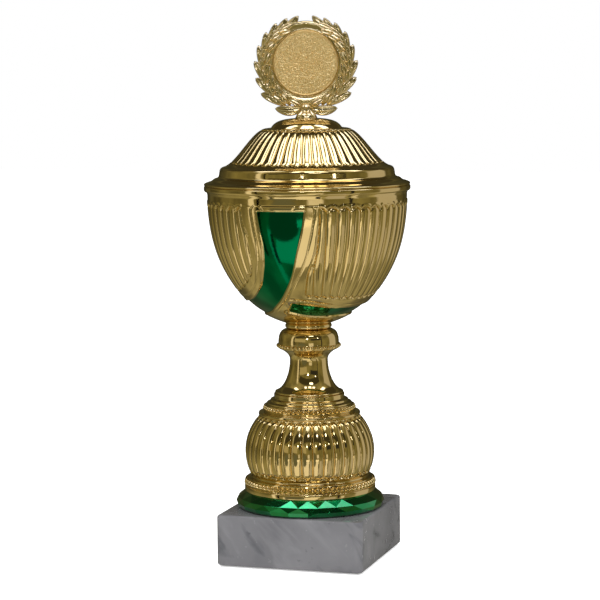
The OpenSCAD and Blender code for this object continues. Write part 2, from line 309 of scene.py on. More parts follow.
class Paint:
    """A material in the making. Its methods add shader nodes and hand back their outputs."""

    def __init__(self, name, **shader):
        self.material = bpy.data.materials.new(name)
        self.material.use_nodes = True
        self.tree = self.material.node_tree
        self.shader = self.tree.nodes["Principled BSDF"]
        for key, value in shader.items():
            self.shader.inputs[key.replace("_", " ")].default_value = value
        self.coords = self.add("TexCoord").outputs["Object"]

    def plug(self, value, socket):
        """Join another node's output to a socket, or set the socket to a number, vector or colour."""
        if isinstance(value, bpy.types.NodeSocket):
            self.tree.links.new(value, socket)
        else:
            socket.default_value = value

    def add(self, kind, **inputs):
        """A new node. Names that are its own properties are set on it, others are its sockets, from _0 on."""
        made = self.tree.nodes.new("ShaderNode" + kind)
        for key, value in inputs.items():
            if hasattr(made, key):
                setattr(made, key, value)
            else:
                self.plug(value, made.inputs[int(key[1:]) if key[0] == "_" else key.replace("_", " ")])
        return made

    def noise(self, scale, detail=3.0, roughness=0.5, distortion=0.0, coords=None):
        coords = self.coords if coords is None else coords
        return self.add("TexNoise", Vector=coords, Scale=scale, Detail=detail, Roughness=roughness,
                        Distortion=distortion).outputs["Fac"]

    def cells(self, scale):
        return self.add("TexVoronoi", Vector=self.coords, Scale=scale, feature="F1").outputs["Distance"]

    def spread(self, value, low, high, to_low=0, to_high=1):
        """value with its range from low to high stretched to the range from to_low to to_high."""
        return self.add("MapRange", Value=value, From_Min=low, From_Max=high, To_Min=to_low,
                        To_Max=to_high).outputs["Result"]

    def maths(self, operation, a, b=0.0):
        return self.add("Math", operation=operation, _0=a, _1=b).outputs[0]

    def mix(self, factor, a, b):
        """Colour a where factor is 0 and colour b where it is 1."""
        made = self.add("Mix", data_type="RGBA", _0=factor)
        for socket, colour in ((made.inputs[6], a), (made.inputs[7], b)):
            self.plug(colour if isinstance(colour, bpy.types.NodeSocket) else (*colour, 1), socket)
        return made.outputs[2]

    def finish(self, colour, roughness, height, strength, distance):
        """The material with its colour, roughness and a bump that follows height."""
        bump = self.add("Bump", Height=height, Strength=strength, Distance=distance).outputs["Normal"]
        for name, value in (("Base Color", colour), ("Roughness", roughness), ("Normal", bump)):
            self.plug(value, self.shader.inputs[name])
        return self.material

    def glow(self, light):
        """The material with a light of its own in place of a shaded surface."""
        self.tree.nodes.remove(self.shader)
        self.plug(light, self.tree.nodes["Material Output"].inputs["Surface"])
        return self.material


def gold_plastic(name="gold_plastic", lacquer=False):
    """Vacuum-metallised plastic: a mirror with a faint orange peel and hazy patches. With lacquer, the band
    value of the points says how far inside the green they are, in millimetres."""
    paint = Paint(name, Metallic=1.0)
    patches = paint.noise(22, 3)
    colour = paint.mix(paint.spread(patches, 0.35, 0.65), (0.85, 0.65, 0.30), (0.80, 0.60, 0.24))
    if lacquer:
        band = paint.add("Attribute", attribute_name="band").outputs["Fac"]
        green = paint.mix(paint.spread(patches, 0.3, 0.7), (0.0, 0.20, 0.075), (0.0, 0.17, 0.055))
        colour = paint.mix(paint.spread(band, -0.12, 0.12), colour, green)
    haze = paint.spread(paint.noise(60, 4), 0.3, 0.75, 0.045, 0.11)
    return paint.finish(colour, haze, paint.noise(420, 2), 0.05, 0.0004)


def gold_cast():
    """Metallised gold on a moulded relief: softer than the shells, with painted shade that darkens it where
    the relief is deep.
    """
    paint = Paint("gold_cast", Metallic=1.0)
    grain = paint.noise(700, 4, 0.7)
    # Painted shade: the colour turns darker where the surface is hollow, in the creases and recesses of the
    # relief.
    painted_hollow_shade = paint.add("NewGeometry").outputs["Pointiness"]
    colour = paint.mix(paint.spread(painted_hollow_shade, 0.44, 0.53), (0.66, 0.50, 0.20), (0.93, 0.76, 0.44))
    return paint.finish(colour, paint.spread(grain, 0.3, 0.7, 0.13, 0.22), grain, 0.12, 0.0002)


def emblem_gold():
    """Gold anodised aluminium with a matt, sparkling grain."""
    paint = Paint("gold_emblem", Metallic=0.88)
    fine = paint.noise(1500, 3, 0.7)
    colour = paint.mix(paint.spread(fine, 0.38, 0.62), (0.84, 0.53, 0.18), (1.0, 0.82, 0.41))
    return paint.finish(colour, paint.spread(fine, 0.3, 0.7, 0.24, 0.36), paint.cells(1100), 0.5, 0.0004)


def green_plastic():
    """Clear emerald plastic, mirror backed: a tinted mirror under a clear gloss."""
    paint = Paint("green_plastic", Metallic=1.0, Coat_Weight=1.0, Coat_Roughness=0.03)
    colour = paint.mix(paint.spread(paint.noise(45, 3), 0.3, 0.7), (0.0, 0.39, 0.115), (0.0, 0.26, 0.06))
    haze = paint.spread(paint.noise(90, 3), 0.3, 0.7, 0.08, 0.16)
    return paint.finish(colour, haze, paint.noise(300, 2), 0.05, 0.0004)


def marble():
    """Polished grey marble: a cloudy ground, soft dark and pale veins that run aslant, and dark spots."""
    paint = Paint("marble", Specular_IOR_Level=0.35)
    aslant = paint.add("Mapping", vector_type="TEXTURE", Vector=paint.coords, Rotation=(0.15, 0.75, 0.35),
                       Scale=(3.6, 1.6, 1.0)).outputs["Vector"]
    cloud = paint.noise(14, 4, 0.5, 0.3)
    streaks = paint.noise(62, 4, 0.55, 0.5, aslant)
    spots = paint.noise(95, 3, 0.6)
    colour = paint.mix(paint.spread(cloud, 0.3, 0.7), (0.090, 0.089, 0.096), (0.152, 0.150, 0.157))
    colour = paint.mix(paint.spread(streaks, 0.56, 0.72, 0, 0.85), colour, (0.056, 0.058, 0.065))
    colour = paint.mix(paint.spread(streaks, 0.30, 0.44, 0.5, 0), colour, (0.18, 0.178, 0.186))
    colour = paint.mix(paint.spread(spots, 0.69, 0.76, 0, 0.7), colour, (0.06, 0.062, 0.068))
    gloss = paint.spread(paint.noise(180, 4), 0.3, 0.7, 0.16, 0.28)
    return paint.finish(colour, gloss, paint.noise(500, 4, 0.7), 0.08, 0.0003)


def zinc_steel():
    """Zinc-plated steel with a faint spangle."""
    paint = Paint("zinc_steel", Metallic=1.0)
    colour = paint.mix(paint.cells(500), (0.55, 0.56, 0.57), (0.72, 0.71, 0.68))
    rough = paint.spread(paint.noise(700, 4), 0.3, 0.7, 0.22, 0.42)
    return paint.finish(colour, rough, paint.noise(1200, 4, 0.7), 0.15, 0.0002)


def felt():
    """Dark green felt, matted from short fibres."""
    paint = Paint("felt", Specular_IOR_Level=0.15, Sheen_Weight=0.5, Sheen_Roughness=0.6)
    fibres = paint.noise(2200, 5, 0.8, 2.0)
    colour = paint.mix(fibres, (0.012, 0.05, 0.022), (0.04, 0.11, 0.055))
    return paint.finish(colour, paint.spread(fibres, 0.3, 0.7, 0.85, 1.0), fibres, 0.8, 0.0006)


GOLD_SHELL = gold_plastic()
GOLD_BOWL = gold_plastic("gold_plastic_lacquered", lacquer=True)
GOLD_CAST = gold_cast()
EMBLEM = emblem_gold()
GREEN = green_plastic()
MARBLE = marble()
STEEL = zinc_steel()
FELT = felt()


# ---- camera

def make_camera():
    data = bpy.data.cameras.new("camera")
    data.lens = CAMERA_LENS
    data.sensor_width = 36.0
    data.clip_end = 20.0
    camera = placed("camera", data)
    turn = CAMERA_TURN - CAMERA_YAW
    level = Vector((-math.sin(turn), math.cos(turn), 0))
    right = Vector((math.cos(turn), math.sin(turn), 0))
    ahead = level * math.cos(CAMERA_PITCH) - Vector((0, 0, math.sin(CAMERA_PITCH)))
    above = right.cross(ahead)
    rolled_right = right * math.cos(CAMERA_ROLL) - above * math.sin(CAMERA_ROLL)
    rolled_above = above * math.cos(CAMERA_ROLL) + right * math.sin(CAMERA_ROLL)
    place = Matrix((rolled_right, rolled_above, -ahead)).transposed().to_4x4()
    place.translation = Vector((math.sin(CAMERA_TURN) * CAMERA_DISTANCE,
                                -math.cos(CAMERA_TURN) * CAMERA_DISTANCE, CAMERA_HEIGHT)) * MM
    camera.matrix_world = place
    bpy.context.scene.camera = camera


# ---- marble, pads and green ring

def felt_pads():
    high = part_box("felt_pads")[1]
    r = 7.0
    reach = high[0] / MM - r
    thick = top("felt_pads") - bottom("felt_pads")
    pad, *faces = domed(soften([(0, 0), (r, 0), (r, thick), (0, thick)], 0.35, closed=False), 48)
    shape = Shape()
    for x in (-reach, reach):
        for y in (-reach, reach):
            shape.add(pad + [x, y, 0], *faces)
    shape.build("felt_pads_soft", FELT, "cup", "felt_pads")


def marble_block():
    """A stack of square rings with rounded corners, which turn round near the recess and the rod's hole."""
    half = half_width("marble_base")
    height = Z_RING - Z_MARBLE
    recess_r, recess_h = 15.0, 14.0
    edge = 2.2
    corner_left = 0.12
    levels = soften([(recess_r, 0), (half, 0), (half, height), (ROD_HOLE_R, height),
                     (ROD_HOLE_R, recess_h), (recess_r, recess_h)], edge, n=5)
    levels = divide(levels, 9.0)
    columns = 160
    azimuth = full_turn(columns, 0.5)
    r, z = levels[:, :1], levels[:, 1:]
    square = r / np.maximum(np.abs(np.sin(azimuth)), np.abs(np.cos(azimuth)))
    corner = (r - edge) * math.sqrt(2) + edge
    square = np.where(square > corner, corner + (square - corner) * corner_left, square)
    share = smooth((r - recess_r - 1.5) / 24)
    points = around(r * (1 - share) + square * share, azimuth, z + Z_MARBLE)
    shape = Shape(points, ring_grid(len(levels), columns))
    shape.build("marble_block", MARBLE, "cup", "marble_base", sharp=60)


def faceted_ring():
    """Flat facets all round: triangles above and below the row whose corners lie half a facet further on."""
    count = 24
    outer = half_width("faceted_ring")
    bore = 42.0
    height = Z_FOOT - Z_RING
    start = CAMERA_TURN - math.radians(2)
    # Each row's radius, height and shift in facets
    rows = [(bore, 0, 0), (outer - 3.0, 0, 0), (outer - 0.9, 1.5, 0), (outer, 4.4, 0),
            (outer - 1.6, 8.2, 0.5), (outer - 7.3, height, 0), (bore, height, 0)]
    points = [around(r, start + full_turn(count, shift), z + Z_RING) for r, z, shift in rows]
    shape = Shape(np.vstack(points), facets([shift for r, z, shift in rows], count))
    piece = shape.build("emerald_ring", GREEN, "cup", "faceted_ring", sharp=1)
    bevel = piece.modifiers.new("edges", "BEVEL")
    bevel.width = 0.12 * MM
    bevel.segments = 2
    bevel.limit_method = "ANGLE"
    bevel.angle_limit = math.radians(2)


def facets(shifts, count):
    """Two triangles between each two neighbours of a row and the two of the next. shifts is how far each row
    is turned, in facets, and the triangles follow it."""
    faces = []
    for i, lead in enumerate(shifts):
        k = (i + 1) % len(shifts)
        for j in range(count):
            a, b = i * count + j, i * count + (j + 1) % count
            c, d = k * count + j, k * count + (j + 1) % count
            faces += [(a, b, c), (b, d, c)] if lead < shifts[k] else [(a, b, d), (a, d, c)]
    return faces


# ---- foot

# Outlines of the beads, as (radius, height above the band) from the middle of the underside to the crown
ROSETTE = [(0, -0.5), (2.1, -0.5), (2.1, -0.1), (1.85, 0.8), (1.45, 1.2), (1.15, 0.9), (0.95, 0.55),
           (0.75, 0.6), (0.45, 1.15), (0, 1.3)]
BEAD = [(0, -0.6), (1.1, -0.6), (1.45, 0.1), (1.25, 0.85), (0.7, 1.35), (0, 1.5)]
DOT = [(0, -0.4), (0.5, -0.4), (0.62, 0.0), (0.45, 0.38), (0, 0.5)]


def scaled(outline, k):
    return np.array(outline) * k


def foot():
    globe_r, globe_rz, globe_z = 51.1, 45.0, 31.0
    flange_r = half_width("foot")
    neck_r = 27.8
    height = Z_STEM - Z_FOOT
    spigot_r = 41.7
    globe_low, globe_high = 14.6, 60.0
    rib_low, rib_high = 15.2, 59.0
    flange = [(spigot_r - 2, -3), (spigot_r, -3), (spigot_r, 0), (flange_r - 0.5, 0), (flange_r, 0.8),
              (flange_r, 3.4), (flange_r - 0.3, 4.2), (flange_r - 0.7, 4.4), (flange_r - 2.3, 10.4)]
    groove = [(49.4, 10.6), (48.2, 11.0), (46.8, 11.3), (46.3, 12.2), (46.7, 13.4)]
    globe = ellipse_side(globe_r, globe_rz, globe_z, globe_low, globe_high, 90)
    steps = [(40.2, 60.4), (40.2, 61.4), (39.9, 62.4), (35.8, 62.5), (35.9, 63.6), (36.2, 63.9), (34.5, 68.6),
             (33.4, 68.8), (33.6, 69.9), (30.9, 70.7), (30.7, 72.4), (28.0, 73.2), (neck_r, 74.8),
             (neck_r, height - 0.3), (neck_r - 0.5, height)]
    crown = [(ROD_HOLE_R, height), (ROD_HOLE_R, height - 4), (neck_r - 2, height - 4)]
    inner = ellipse_side(globe_r - WALL - 1, globe_rz - WALL, globe_z, 13.0, 58.0, 14)[::-1]
    outline = path(flange, groove, globe, steps, crown, inner, [(spigot_r - 2, 7.6)])
    outline = divide(soften(outline, 0.5, turn_limit=25), 1.1)
    ribs, per_rib = 36, 20
    r, z = outline[:, :1], outline[:, 1:]
    on_globe = np.zeros(z.shape)
    on_globe[np.argmax((z > 14) & (r > 46)):np.argmax(z > 60.2)] = 1
    half, across = fluting(full_turn(ribs * per_rib), r, ribs, math.pi / ribs)
    ends = np.minimum(z - rib_low, rib_high - z) * 1.15
    push = fluted(across, half, ends, 1.5, 0.8) * on_globe
    shape = Shape(*turned(outline + [0, Z_FOOT], ribs * per_rib, push))
    tilt = math.radians(15)
    beads(shape, 74, flange_r - 1.4, Z_FOOT + 7.5, tilt, scaled(ROSETTE, 1.14))
    beads(shape, 148, flange_r - 0.5, Z_FOOT + 4.7, tilt, scaled(DOT, 0.8), 8)
    beads(shape, 56, 35.3, Z_FOOT + 66.2, math.radians(19), scaled(ROSETTE, 0.92), phase=0.5)
    shape.build("foot_shell", GOLD_SHELL, "cup", "foot")


# ---- stem and seat ring

def stem():
    height = top("stem") - Z_STEM
    lip_r, waist_r, knop_r, crown_r = 27.0, 15.0, 24.0, 15.8
    waist_z, bead_z = height * 0.52, height - 13.4
    outer = path([(lip_r - 0.5, 0), (lip_r, 0.5), (lip_r, 1.2)],
                 cubic((lip_r - 0.4, 1.8), (waist_r + 4.5, 3.6), (waist_r, waist_z * 0.6),
                       (waist_r, waist_z), 26),
                 cubic((waist_r, waist_z), (waist_r, waist_z + 4.4), (knop_r - 4, bead_z - 3.6),
                       (knop_r - 0.3, bead_z - 2.2), 20),
                 [(knop_r, bead_z - 1.9), (knop_r + 0.1, bead_z + 1.7), (knop_r - 0.1, bead_z + 2.1)],
                 cubic((knop_r - 0.1, bead_z + 2.5), (knop_r - 0.3, height - 3.4),
                       (knop_r - 2.2, height - 0.4), (crown_r, height), 18),
                 [(crown_r, height)])
    inner = path([(ROD_HOLE_R, height), (ROD_HOLE_R, height - 4), (waist_r + 1, height - 4),
                  (waist_r + 1, bead_z)],
                 cubic((waist_r - 2, bead_z - 6), (waist_r - 2, waist_z), (waist_r - 2, waist_z * 0.6),
                       (waist_r + 2.5, 3.6), 10),
                 [(lip_r - 2, 2), (lip_r - 2, 0)])
    outline = soften(path(outer, inner), 0.35, turn_limit=25)
    shape = Shape(*turned(outline + [0, Z_STEM], 192))
    beads(shape, 44, knop_r + 0.1, Z_STEM + bead_z, 0.1, BEAD, 16)
    shape.build("stem_shell", GOLD_SHELL, "cup", "stem")


def seat_ring():
    r = half_width("cup_seat")
    height = top("cup_seat") - Z_SEAT
    tube = height / 2
    outline = path([(ROD_HOLE_R, 0)], [(r - tube, 0)], arc((r - tube, tube), tube, -80, 80, 18),
                   [(r - tube, height), (ROD_HOLE_R, height)])
    shape = Shape(*turned(outline + [0, Z_SEAT], 160))
    shape.build("seat_ring", GOLD_SHELL, "cup", "cup_seat")


# ---- bowl

# Two green bands sweep down the bowl, half a turn apart. Each curve is (degrees round from the camera's side,
# height above the bowl's foot in mm), from the band's mouth to its tail.
UPPER_EDGE = [(-29.5, 92), (-28.2, 79), (-27, 67), (-27.8, 55), (-30.5, 45.5), (-36, 34.5), (-46, 26.6),
              (-56.5, 22.2), (-70, 19.8), (-90, 17.8), (-110, 16.4), (-126, 15.4), (-145, 15.4), (-162, 16.2),
              (-180, 18.6), (-194, 20.4)]
LOWER_EDGE = [(-1.9, 92), (-3.1, 80), (-6, 64.5), (-9.6, 47.5), (-13, 38), (-18.4, 29.1), (-25.4, 21.8),
              (-37.3, 15), (-48.5, 11.4), (-70, 8.8), (-100, 8), (-130, 8.2), (-162, 8), (-182, 9.2),
              (-201, 12.5)]
# The edge of the fluted field: down its left, along its foot and up its right
FIELD_EDGE = [(7.2, 99), (6.8, 82), (5.4, 64), (3.4, 55), (0.4, 45), (-1.4, 35), (-2.6, 27.5), (3, 25.6),
              (24, 24.2), (50, 23.4), (75, 24.6), (95, 26.4), (114, 29.6), (127, 34.5), (137.3, 42),
              (142.3, 50), (143.6, 59), (143.6, 68), (143.2, 75), (140.4, 84), (139, 99)]
BAND_TOP = 92.0
FLUTE_TOP = 94.4
FLUTES = 52
FLUTE_PHASE = math.radians(0.3)
ABOVE_BOWL = 300


def through(points, per_span=8):
    """A smooth curve through the points."""
    p = np.array(points, float)
    p = np.vstack([2 * p[0] - p[1], p, 2 * p[-1] - p[-2]])
    out = []
    for a, b, c, d in zip(p[:-3], p[1:-2], p[2:-1], p[3:]):
        for t in np.arange(per_span) / per_span:
            out.append(0.5 * (2 * b + (c - a) * t + (2 * a - 5 * b + 4 * c - d) * t * t
                              + (3 * b - a - 3 * c + d) * t ** 3))
    return np.vstack(out + [p[-2]])


class BowlSurface:
    """The bowl's outer side as a flat map: degrees round the axis, height, and true distances on the wall."""

    def __init__(self, radius, depth, rim):
        self.radius, self.depth, self.rim = radius, depth, rim
        self.h = np.linspace(0, rim, 400)
        r = self.r_at(self.h)
        self.s = np.concatenate([[0], np.cumsum(np.hypot(np.diff(r), np.diff(self.h)))])

    def r_at(self, h):
        return self.radius * np.sqrt(1 - ((h - self.rim) / self.depth) ** 2)

    def s_at(self, h):
        """Distance up the wall from the bowl's foot."""
        return np.interp(h, self.h, self.s)

    def rows(self, step):
        """Heights at even distances along the wall."""
        count = math.ceil(self.s[-1] / step)
        return np.interp(np.linspace(0, self.s[-1], count + 1), self.s, self.h)

    def distance(self, curve, degrees, h):
        """Distance in mm from each point of a grid to the curve."""
        r, s = self.r_at(h), self.s_at(h)
        best = np.inf
        for (a0, h0), (a1, h1) in zip(curve[:-1], curve[1:]):
            x0 = r * np.radians((a0 - degrees + 180) % 360 - 180)
            dx = r * math.radians(a1 - a0)
            y0 = self.s_at(h0) - s
            dy = self.s_at(h1) - self.s_at(h0)
            t = np.clip(-(x0 * dx + y0 * dy) / (dx * dx + dy * dy + 1e-12), 0, 1)
            best = np.minimum(best, np.hypot(x0 + t * dx, y0 + t * dy))
        return best


def inside(polygon, x, y):
    """Whether each point lies inside the polygon."""
    result = np.zeros(np.broadcast(x, y).shape, bool)
    for (x0, y0), (x1, y1) in zip(polygon, np.roll(polygon, -1, axis=0)):
        if y0 != y1:
            result ^= ((y0 > y) != (y1 > y)) & (x < (x1 - x0) * (y - y0) / (y1 - y0) + x0)
    return result


def bowl_maps(surface, degrees, h):
    """Distances on the wall, from a coarse grid: inside the green bands and inside the fluted fields, both
    negative outside, and then from the bands' upper and lower edges."""
    coarse_a = np.linspace(0, 180, 181)[None, :]
    coarse_h = np.linspace(0, surface.rim, 160)[:, None]

    def nearest(*curves):
        both = [surface.distance(c, coarse_a + turn, coarse_h) for c in curves for turn in (0, 180)]
        return np.min(both, axis=0)

    def signed(outline, distance):
        turns = (-360, -180, 0, 180)
        within = np.any([inside(outline, coarse_a + turn, coarse_h) for turn in turns], axis=0)
        return np.where(within, distance, -distance)

    upper, lower, field = (through(c) for c in (UPPER_EDGE, LOWER_EDGE, FIELD_EDGE))
    tail = np.array([lower[-1], upper[-1]])
    mouth = [(UPPER_EDGE[0][0], BAND_TOP), (LOWER_EDGE[0][0], BAND_TOP)]
    over_field = [(FIELD_EDGE[-1][0], ABOVE_BOWL), (FIELD_EDGE[0][0], ABOVE_BOWL)]
    maps = [signed(np.vstack([upper[::-1], lower, tail]), nearest(upper, lower, tail, mouth)),
            signed(np.vstack([field, over_field]), nearest(field)), nearest(upper), nearest(lower)]
    column = np.mod(degrees, 180)
    out = []
    for m in maps:
        rows = np.stack([np.interp(column, coarse_a[0], line) for line in m])
        out.append(np.stack([np.interp(h, coarse_h[:, 0], line) for line in rows.T], 1))
    return out


def bowl_relief(surface, azimuth, h):
    """The wall's relief from the plain wall, and the signed distance inside the green bands, on a grid of
    heights by azimuths."""
    green, field, to_upper, to_lower = bowl_maps(surface, np.degrees(azimuth - CAMERA_TURN), h)
    h = h[:, None]
    half, across = fluting(azimuth, surface.r_at(h), FLUTES, CAMERA_TURN + FLUTE_PHASE)
    below_top = surface.s_at(FLUTE_TOP) - surface.s_at(h)
    # The gold is raised above the green and above the plain band under the rim, whose edge follows the flutes
    scallop = half - np.hypot(across, np.maximum(0, half - below_top))
    near_flutes = smooth((field + 2.5) / 2)
    upper_limit = near_flutes * (scallop + 2.6) + (1 - near_flutes) * (below_top + 1.5)
    raised = smooth((-green + 0.15) / 1.1) * smooth(upper_limit / 0.9 + 0.5)
    step = 0.55 + 0.95 * smooth((80 - h) / 45)
    # Flutes, and between them and the green a border: a fine line and a strip that is hollowed in its middle
    depth = 1.6 * (half / 4.7) ** 0.7
    flutes = fluted(across, half, np.minimum(field, below_top), depth, 0.9)
    line_at = np.where(to_lower < to_upper, 3.2 + 4.6 * smooth((h - 28) / 34), 4.8)
    from_edge = np.minimum(to_lower, to_upper)
    outside = smooth(-green / 0.8)
    line = -0.32 * np.exp(-((from_edge - line_at) / 0.42) ** 2) * outside * smooth((-field - 0.8) / 1.5)
    strip_edge = np.minimum(np.abs(from_edge - line_at), np.abs(field))
    strip = -0.22 * (1 - smooth(strip_edge / 2.0)) * (from_edge > line_at) * (field < 0) * outside
    side = smooth((h - 18) / 6) * (below_top > 0)
    belly = 1.3 * smooth(h / 16) * smooth((96 - h) / 46)
    gold = np.where(field > -1.0, flutes, 0) + line + strip * side
    return belly - step * (1 - raised) + raised * gold, green


def bowl():
    height = Z_LID - Z_BOWL
    rim_z = height - 4.5
    floor_z = 4.0
    r = RIM_R - RIM_OVERHANG
    inner_r = r - WALL - 0.2
    depth = rim_z + 2.8
    surface = BowlSurface(r, depth, rim_z)
    levels = surface.rows(0.6)
    rim = soften([(r, rim_z), (RIM_R - 0.8, rim_z), (RIM_R, rim_z + 1.2), (RIM_R, height - 0.8),
                  (RIM_R - 0.8, height), (r - WALL, height), (inner_r, rim_z)], 0.5, closed=False)[1:-1]
    inner = ellipse_side(inner_r, depth - WALL, rim_z, floor_z, rim_z, 30)[::-1]
    outline = path([(ROD_HOLE_R, 0)], np.stack([surface.r_at(levels), levels], 1), rim, inner,
                   [(ROD_HOLE_R, floor_z)])
    columns = FLUTES * 20
    relief, green = bowl_relief(surface, full_turn(columns), levels)
    relief *= smooth(levels / 3)[:, None] * smooth((rim_z - levels) / 2.5)[:, None]
    on_wall = slice(1, 1 + len(levels))
    push = np.zeros((len(outline), columns))
    push[on_wall] = relief
    far_outside = -5.0
    band = np.full((len(outline), columns), far_outside)
    band[on_wall] = np.clip(green, far_outside, -far_outside)
    shape = Shape(*turned(outline + [0, Z_BOWL], columns, push))
    shape.build("bowl_shell", GOLD_BOWL, "cup", "bowl", sharp=50, values={"band": band})


# ---- lid

def lid():
    height = Z_WREATH - Z_LID
    edge = RIM_R
    dome_r, dome_z, step_z = 31.0, height - 7.6, 15.0
    skirt_r, inner_r = edge - 16.8, edge - 15.4
    collar_r = edge - RIM_OVERHANG - WALL - 0.6
    land_r = 9.5
    cap_r = dome_r - 3
    rim = [(edge - 0.8, 0), (edge, 0.8), (edge - 0.5, 1.8), (edge - 2.4, 2.6), (edge - 4.6, 3.2),
           (edge - 6, 3.8), (edge - 7.2, 4.8), (edge - 8.4, 5.6), (edge - 10.8, 6.3),
           (edge - 11.8, 7.4), (edge - 12.6, 12.2), (edge - 13.6, 13.8), (edge - 15.2, 14.5)]
    dome = cubic((skirt_r, step_z), (skirt_r - 11, step_z + 5), (dome_r + 11, dome_z - 0.2),
                 (dome_r, dome_z), 90)
    cap = cubic((cap_r, dome_z), (cap_r - 2.5, dome_z + 3.9), (cap_r - 5.5, height - 0.9),
                (land_r + 0.6, height), 24)
    outer = path(soften(path(rim, dome[:1]), 1.1, closed=False, turn_limit=12)[:-1], dome,
                 [(dome_r - 1.4, dome_z + 0.2), (cap_r + 0.4, dome_z - 0.1)], cap, [(land_r, height)])
    inner = path([(STUD_HOLE_R, height), (STUD_HOLE_R, height - 4), (land_r, height - 4)],
                 cubic((cap_r - 8, height - 4), (cap_r - 3, dome_z - 0.6), (cap_r, dome_z - WALL),
                       (dome_r, dome_z - WALL), 6),
                 cubic((dome_r, dome_z - WALL), (dome_r + 10, dome_z - WALL), (skirt_r - 12.6, step_z + 3.2),
                       (skirt_r - WALL, step_z - WALL), 14),
                 [(inner_r, step_z - WALL), (inner_r, 4)])
    collar = [(collar_r - 1.6, 3), (collar_r - 1.6, -6), (collar_r, -6), (collar_r, 0)]
    outline = path(outer, soften(path(inner, collar), 0.4, closed=False, turn_limit=30))
    # Flutes on the dome only, measured along the outline from the dome's first point to its last
    ribs, per_rib = 45, 24
    along = np.concatenate([[0], np.cumsum(np.hypot(*np.diff(outline, axis=0).T))])[:, None]
    first = np.argmin(np.hypot(*(outline - dome[0]).T))
    last = first + len(dome) - 1
    up, down = along - along[first], along[last] - along
    half, across = fluting(full_turn(ribs * per_rib), outline[:, :1], ribs, CAMERA_TURN)
    push = fluted(across, half, np.minimum(up - 4.0, down - 3.5), 1.35 * (half / 4.2) ** 0.6, 0.8)
    shape = Shape(*turned(outline + [0, Z_LID], ribs * per_rib, push * smooth(up / 2) * smooth(down / 2)))
    shape.build("lid_shell", GOLD_SHELL, "lid", "lid")


# ---- wreath and emblem

def wreath_frame():
    """Right, up and forward of the wreath as a matrix, with its origin at the emblem's centre."""
    right = Vector((math.cos(WREATH_TURN), math.sin(WREATH_TURN), 0))
    front = Vector((math.sin(WREATH_TURN), -math.cos(WREATH_TURN), 0))
    place = Matrix((right, Vector((0, 0, 1)), front)).transposed().to_4x4()
    place.translation = Vector((0, 0, Z_EMBLEM))
    return place


def add_leaf(shape, place, base, direction, length, width, thick, curl):
    """A laurel leaf, the same on its front and back: pointed, with a raised midrib and a raised edge."""
    stations, across = 16, 17
    t = np.linspace(0, 1, stations)[1:-1][:, None]
    v = np.sin(np.linspace(-1, 1, across) * math.pi / 2)[None, :]
    y = width / 2 * np.sin(math.pi * t ** 1.12) ** 0.62 * v + curl * length * np.sin(math.pi * t)
    full = np.sin(math.pi * t) ** 0.5
    rim = np.exp(-((np.abs(v) - 0.8) / 0.16) ** 2)
    midrib = np.exp(-(v / 0.2) ** 2) * (1 - 0.6 * t)
    z = thick / 2 * full * (0.66 + 0.2 * rim + 0.36 * midrib) * (1 - 0.75 * np.abs(v) ** 9)
    front = np.stack(np.broadcast_arrays(length * t, y, z), -1)
    back = front[:, ::-1] * [1, 1, -1]
    rings = np.concatenate([back, front], 1)
    rows, columns = rings.shape[:2]
    x, y, z = np.vstack([rings.reshape(-1, 3), [[0, 0, 0], [length, 0, 0]]]).T
    unit = np.array(direction, float) / np.linalg.norm(direction)
    local = np.stack([x * unit[0] - y * unit[1] + base[0], x * unit[1] + y * unit[0] + base[1], z], 1)
    shape.add(moved(local, place), *flipped(with_fans(rows, columns)))


def branch(shape, place, side):
    """A laurel branch, from the knot up to the gap at the top. side is -1 on the left and 1 on the right."""

    def leaf(angle, reach, lean, length, width, thick, curl):
        """A leaf whose tip is at angle from the top and reach from the middle, and leans outward by lean."""
        a, lean = math.radians(angle), math.radians(lean)
        out = np.array([side * math.sin(a), math.cos(a)])
        on = np.array([-side * math.cos(a), math.sin(a)])
        direction = on * math.cos(lean) + out * math.sin(lean)
        add_leaf(shape, place, out * reach - direction * length, direction, length, width, thick, curl * side)

    tips = [(5.1, 36.4), (14.1, 34.8), (22.6, 31.2), (30.6, 24.4), (36.8, 14.2), (40.2, 2.0), (39.4, -11.2),
            (35.4, -23.2)]
    for i, (x, y) in enumerate(tips):
        angle, reach = math.degrees(math.atan2(x, y)), math.hypot(x, y)
        leaf(angle, reach, 27, 15.8 + 0.5 * i, 6.0 + 0.26 * i, 4.6, 0.08)
        leaf(angle + 8, reach - 4.4 - 0.25 * i, 7, 14.2 + 0.2 * i, 5.4 + 0.12 * i, 6.6, 0.05)
        if i:
            leaf(angle + 1, 27.9, -9, 13.6, 6.2, 8.0, -0.05)
    # The twig under the leaves, from the knot upwards
    steps, sides, twig_r = 40, 8, 31.8
    angle = np.radians(np.linspace(172, 14, steps))[:, None]
    thick = np.linspace(1.9, 0.9, steps)[:, None]
    radius = twig_r + thick * np.cos(full_turn(sides))
    local = np.stack([side * radius * np.sin(angle), radius * np.cos(angle),
                      1.3 * thick * np.sin(full_turn(sides))], -1)
    faces = with_caps(steps, sides)
    shape.add(moved(local.reshape(-1, 3), place), *(faces if side < 0 else flipped(faces)))
    # Large leaves by the knot: (start, direction, length, width, thickness, curl)
    for (x, y), (along, up), length, width, thick, curl in (
            ((1.0, -35.6), (1.0, 0.02), 23.5, 8.2, 5.4, -0.06),
            ((1.0, -35.4), (0.86, 0.5), 15.5, 5.8, 8.4, 0.05),
            ((12.0, -33.2), (0.62, 0.78), 14.5, 5.8, 8.4, 0.05)):
        add_leaf(shape, place, (side * x, y), (side * along, up), length, width, thick, curl * side)


